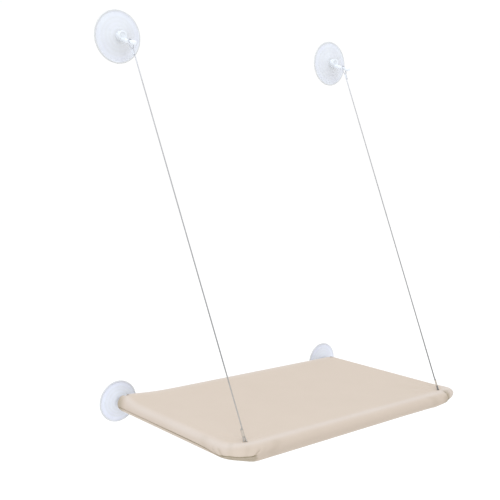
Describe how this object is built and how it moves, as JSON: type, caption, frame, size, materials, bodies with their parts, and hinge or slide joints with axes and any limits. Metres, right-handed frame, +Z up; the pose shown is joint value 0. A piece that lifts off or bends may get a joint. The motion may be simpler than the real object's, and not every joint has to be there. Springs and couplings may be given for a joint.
{
  "type": "cat window perch",
  "caption": "Fabric-covered tube frame held level against a window by suction cups, with cables running up to hooked suction cups; folds up flat against the glass.",
  "frame": {"origin": "on the window's glass, midway between the axes of the two lower suction cups", "axes": "+Z up along the glass, +Y out of the room into the glass, +X along the window to the right as seen from the room"},
  "size_m": [0.627, 0.3665, 0.75],
  "materials": {
    "cup_plastic": "soft milky translucent vinyl, glossy",
    "hook_plastic": "clear moulded plastic, glossy",
    "steel_cable": "stranded wire rope",
    "crimp_metal": "pressed, slightly dull",
    "corner_plastic": "moulded, lightly textured",
    "pin_steel": "plain",
    "frame_tube": "powder coated, satin",
    "cover_fabric": "smooth satin plain weave, beige",
    "closure_tape": "hook-and-loop tape"
  },
  "bodies": {
    "glass_side": {"lower_cup_left": "cup_plastic", "lower_cup_right": "cup_plastic", "upper_cup_left": "cup_plastic", "upper_cup_right": "cup_plastic", "hook_left": "hook_plastic", "hook_right": "hook_plastic", "cable_left": "steel_cable", "cable_right": "steel_cable", "upper_sleeve_left": "crimp_metal", "upper_sleeve_right": "crimp_metal"},
    "perch": {"lower_sleeve_left": "crimp_metal", "lower_sleeve_right": "crimp_metal", "front_corner_left": "corner_plastic", "front_corner_right": "corner_plastic", "rear_corner_left": "corner_plastic", "rear_corner_right": "corner_plastic", "anchor_pin_left": "pin_steel", "anchor_pin_right": "pin_steel", "left_tube": "frame_tube", "right_tube": "frame_tube", "front_tube": "frame_tube", "rear_tube": "frame_tube", "cover": "cover_fabric", "closure_hook_tape": "closure_tape", "closure_loop_tape": "closure_tape"}
  },
  "joints": [
    {"name": "perch_fold", "type": "hinge", "parent": "glass_side", "child": "perch", "pos_m": [0, -0.03, 0], "axis": [-1, 0, 0], "range_deg": [0, 80], "deforming": ["cable_left", "cable_right"]}
  ]
}
